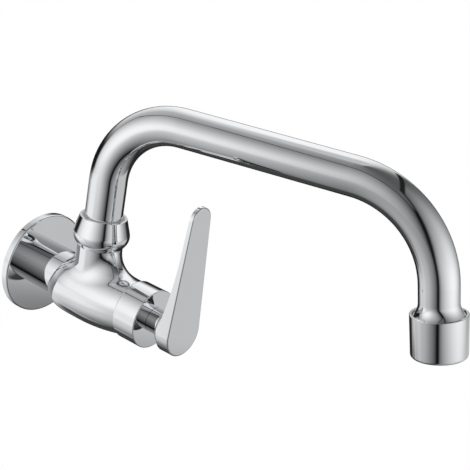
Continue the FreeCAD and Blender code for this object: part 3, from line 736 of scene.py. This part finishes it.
# Later ones hang in front of earlier ones
PATCHES = [
    Patch(-175, (35, 66), (-33, -54), (-24, -16), 0.64),
    Patch(45, (34, 54), (-32, -39), (-15, -8), 0.52),
    Patch(122, (28, 44), (-90, -91), (4, 28), 0.02),
    Patch(128, (10, 58), (-90, -91), (-28, -18), 0.02),
    Patch(158, (24, 38), (-90, -91), (-47, -40), 0.05),
    Patch(150, (40, 60), (-90, -91), (-62, -50), 0.05),
    Patch(176, (19, 31), (-8, -13), (4, 20), 0.01),
    Patch(-146, (12, 30), (-24, -34), (-12, -5), 0.84),
    Patch(132, (28, 50), (72, 57), (90, 91), 0.52),
]


def direction(azimuth, height):
    """Unit vector for an azimuth from straight in front of the wall and a height, in degrees."""
    a = math.radians(azimuth)
    h = math.radians(height)
    return Vector((math.sin(a) * math.cos(h), -math.cos(a) * math.cos(h), math.sin(h)))


def arch_pole(azimuth):
    """Unit vector square to the plane of the arch that is highest at an azimuth."""
    return direction(azimuth + 180, 90 - ARCH_HEIGHT)


class TAP_OT_studio(bpy.types.Operator):
    """Lay out the floor, the light tent, the world and the camera"""
    bl_idname = "tap.studio"
    bl_label = "Studio"

    def execute(self, context):
        values = context.scene.tap_studio
        self.world(context)
        self.floor(values)
        self.tent(values)
        self.camera(context)
        context.scene.view_settings.view_transform = "Standard"
        return {"FINISHED"}

    def world(self, context):
        world = bpy.data.worlds.new("studio")
        world.use_nodes = True
        graph = Graph(world.node_tree)
        output = graph.add("ShaderNodeOutputWorld")
        light = graph.add("ShaderNodeBackground")
        light.inputs["Color"].default_value = (1, 1, 1, 1)
        light.inputs["Strength"].default_value = 1.0
        graph.feed(output.inputs["Surface"], light.outputs["Background"])
        context.scene.world = world

    def floor(self, values):
        """Round pale floor that is nearly white where it is looked at and keeps the tap's shadow."""
        work = bmesh.new()
        bmesh.ops.create_circle(work, cap_ends=True, radius=values.floor_radius, segments=FLOOR_SIDES)
        bmesh.ops.translate(work, verts=work.verts, vec=(0, 0, -values.floor_drop))
        mesh = bpy.data.meshes.new("floor")
        work.to_mesh(mesh)
        work.free()
        piece = bpy.data.objects.new("floor", mesh)
        bpy.context.scene.collection.objects.link(piece)
        material = bpy.data.materials.new("floor_white")
        material.use_nodes = True
        graph = Graph(material.node_tree)
        output = graph.add("ShaderNodeOutputMaterial")
        matt = graph.add("ShaderNodeBsdfDiffuse")
        graph.feed(matt.inputs["Color"], rgba(values.floor))
        glow = graph.add("ShaderNodeEmission")
        path = graph.add("ShaderNodeLightPath")
        seen = graph.math("MAXIMUM", path.outputs["Is Camera Ray"], path.outputs["Is Glossy Ray"])
        seen = graph.math("MAXIMUM", seen, path.outputs["Is Transmission Ray"])
        mix = graph.add("ShaderNodeMixShader")
        graph.feed(mix.inputs[0], graph.math("MULTIPLY", seen, values.floor_glow))
        graph.feed(mix.inputs[1], matt.outputs[0])
        graph.feed(mix.inputs[2], glow.outputs[0])
        graph.feed(output.inputs["Surface"], mix.outputs[0])
        mesh.materials.append(material)

    def tent(self, values):
        """Round light tent that only mirrors see: it lights no matt surface and throws no shadow."""
        work = bmesh.new()
        bmesh.ops.create_uvsphere(work, u_segments=TENT_MERIDIANS, v_segments=TENT_PARALLELS,
                                  radius=values.tent_radius)
        for face in work.faces:
            face.smooth = True
        mesh = bpy.data.meshes.new("tent")
        work.to_mesh(mesh)
        work.free()
        piece = bpy.data.objects.new("light_tent", mesh)
        piece.location = TENT_CENTRE
        bpy.context.scene.collection.objects.link(piece)
        piece.visible_camera = False
        piece.visible_diffuse = False
        piece.visible_shadow = False
        mesh.materials.append(self.tent_material(values))

    def tent_material(self, values):
        """Plain glow whose strength is drawn over the tent by azimuth and height."""
        material = bpy.data.materials.new("tent_panels")
        material.use_nodes = True
        graph = Graph(material.node_tree)
        output = graph.add("ShaderNodeOutputMaterial")
        place = graph.vector("NORMALIZE", graph.place())
        parts = graph.add("ShaderNodeSeparateXYZ")
        graph.feed(parts.inputs[0], place)
        x, y, z = parts.outputs
        azimuth = graph.math("ARCTAN2", x, graph.math("MULTIPLY", y, -1.0))
        height = graph.math("ARCSINE", z)

        # Both panels, with the slot between them leaning as it rises
        far = graph.math("ABSOLUTE", graph.math("SUBTRACT", azimuth, math.radians(SLOT_AZIMUTH)))
        lean = graph.fade(far, *LEAN_FADE, SLOT_LEAN)
        rise = graph.math("MAXIMUM", height, 0.0)
        leaned = graph.math("SUBTRACT", azimuth, graph.math("MULTIPLY", rise, lean))
        right_side = graph.fade(leaned, SLOT_AZIMUTH - SLOT_BLUR, SLOT_AZIMUTH + SLOT_BLUR)
        left_levels = graph.ramp(height, LEFT_LEVELS)
        right_levels = graph.ramp(height, RIGHT_LEVELS)
        upward = graph.blend(right_side, left_levels, right_levels)
        panels = graph.math("MULTIPLY", graph.ramp(leaned, PANEL_LEVELS), upward)

        # Where the panels end and the ceiling begins
        left_arch = graph.vector("DOT_PRODUCT", place, arch_pole(LEFT_ARCH_AZIMUTH))
        right_arch = graph.vector("DOT_PRODUCT", place, arch_pole(RIGHT_ARCH_AZIMUTH))
        arch = graph.blend(right_side, left_arch, right_arch)
        upright = graph.math("SUBTRACT", math.radians(LEFT_EDGE), azimuth)
        slant = graph.math("MULTIPLY_ADD", azimuth, -CORNER_SLOPE, height)
        start = math.radians(LEFT_CORNER[1] - CORNER_SLOPE * LEFT_CORNER[0])
        corner = graph.math("DIVIDE", graph.math("SUBTRACT", slant, start), math.hypot(1, CORNER_SLOPE))
        edge = graph.math("MAXIMUM", arch, graph.math("MAXIMUM", upright, corner))
        outside = graph.ease(edge, -ARCH_BLUR, ARCH_BLUR)
        past_right = graph.fade(azimuth, RIGHT_EDGE - RIGHT_EDGE_BLUR, RIGHT_EDGE + RIGHT_EDGE_BLUR)
        outside = graph.math("MAXIMUM", outside, past_right)
        level = graph.blend(outside, panels, graph.ramp(azimuth, CEILING_LEVELS))
        beside = graph.math("MULTIPLY", past_right, graph.fade(height, *BESIDE_FADE))
        level = graph.blend(beside, level, BESIDE_LEVEL)

        for patch in PATCHES:
            level = graph.blend(self.share(graph, azimuth, height, patch), level, patch.level)
        frames = self.frames(graph, azimuth, height, edge, right_side)
        level = graph.blend(frames, level, FRAME_LEVEL)
        glow = graph.add("ShaderNodeEmission")
        graph.feed(glow.inputs["Strength"], graph.math("MULTIPLY", level, values.softbox))
        graph.feed(output.inputs["Surface"], glow.outputs[0])
        return material

    def frames(self, graph, azimuth, height, edge, right_side):
        """Share of the black frames over both panels and along the left one's slanted corner."""
        thick = graph.blend(right_side, FRAME_LEFT, FRAME_RIGHT)
        rim = graph.ease(graph.math("DIVIDE", graph.math("ABSOLUTE", edge), thick), *FRAME_BLUR)
        within = graph.fade(azimuth, *FRAME_END)
        within = graph.math("MULTIPLY", within, graph.fade(height, *FRAME_FOOT))
        return graph.math("MULTIPLY", rim, within)

    def share(self, graph, azimuth, height, patch):
        """How much of a patch is seen at an azimuth and a height, fading over its edges."""
        off = graph.math("SUBTRACT", azimuth, math.radians(patch.azimuth))
        off = graph.math("ABSOLUTE", graph.math("WRAP", off, math.pi, -math.pi))
        wide = graph.fade(off, patch.half_width[1], patch.half_width[0])
        low = graph.fade(height, patch.lower[1], patch.lower[0])
        high = graph.fade(height, patch.upper[1], patch.upper[0])
        return graph.math("MULTIPLY", wide, graph.math("MULTIPLY", low, high))

    def camera(self, context):
        values = context.scene.tap_camera
        back = direction(math.degrees(values.azimuth), math.degrees(values.elevation))
        right = Vector((math.cos(values.azimuth), math.sin(values.azimuth), 0))
        up = back.cross(right)
        side = right * math.cos(values.roll) + up * math.sin(values.roll)
        top = up * math.cos(values.roll) - right * math.sin(values.roll)
        place = Vector(values.target) + back * values.distance
        data = bpy.data.cameras.new("camera")
        data.lens = values.lens
        data.sensor_width = SENSOR_WIDTH
        data.clip_start = CLIP_START
        data.clip_end = CLIP_END
        camera = bpy.data.objects.new("camera", data)
        bpy.context.scene.collection.objects.link(camera)
        turn = Matrix((side, top, back)).transposed()
        camera.matrix_world = Matrix.Translation(place) @ turn.to_4x4()
        context.scene.camera = camera


class TAP_PT_panel(bpy.types.Panel):
    """Lists the tap's pieces and their settings"""
    bl_label = "Basin tap"
    bl_idname = "TAP_PT_panel"
    bl_space_type = "VIEW_3D"
    bl_region_type = "UI"
    bl_category = "Basin tap"

    def draw(self, context):
        for step in STEPS:
            self.layout.operator(step.bl_idname)
        for name, kind in GROUPS.items():
            box = self.layout.box()
            box.label(text=kind.__name__[len("Tap"):])
            for setting in kind.__annotations__:
                box.prop(getattr(context.scene, name), setting)


STEPS = [TAP_OT_wall_fixing, TAP_OT_body, TAP_OT_headwork, TAP_OT_bonnet, TAP_OT_lever, TAP_OT_union,
         TAP_OT_spout, TAP_OT_aerator, TAP_OT_studio]
GROUPS = {"tap_finishes": TapFinishes, "tap_inlet": TapInlet, "tap_gauze": TapGauze,
          "tap_studio": TapStudio, "tap_camera": TapCamera}


def register():
    for group in GROUPS.values():
        bpy.utils.register_class(group)
    for name, group in GROUPS.items():
        setattr(bpy.types.Scene, name, PointerProperty(type=group))
    for step in STEPS:
        bpy.utils.register_class(step)
    bpy.utils.register_class(TAP_PT_panel)


def unregister():
    bpy.utils.unregister_class(TAP_PT_panel)
    for step in reversed(STEPS):
        bpy.utils.unregister_class(step)
    for name, group in GROUPS.items():
        delattr(bpy.types.Scene, name)
        bpy.utils.unregister_class(group)


def main():
    register()
    bpy.ops.tap.wall_fixing()
    bpy.ops.tap.body()
    bpy.ops.tap.headwork()
    bpy.ops.tap.bonnet()
    bpy.ops.tap.lever()
    bpy.ops.tap.union()
    bpy.ops.tap.spout()
    bpy.ops.tap.aerator()
    bpy.ops.tap.studio()


if __name__ == "__main__":
    main()
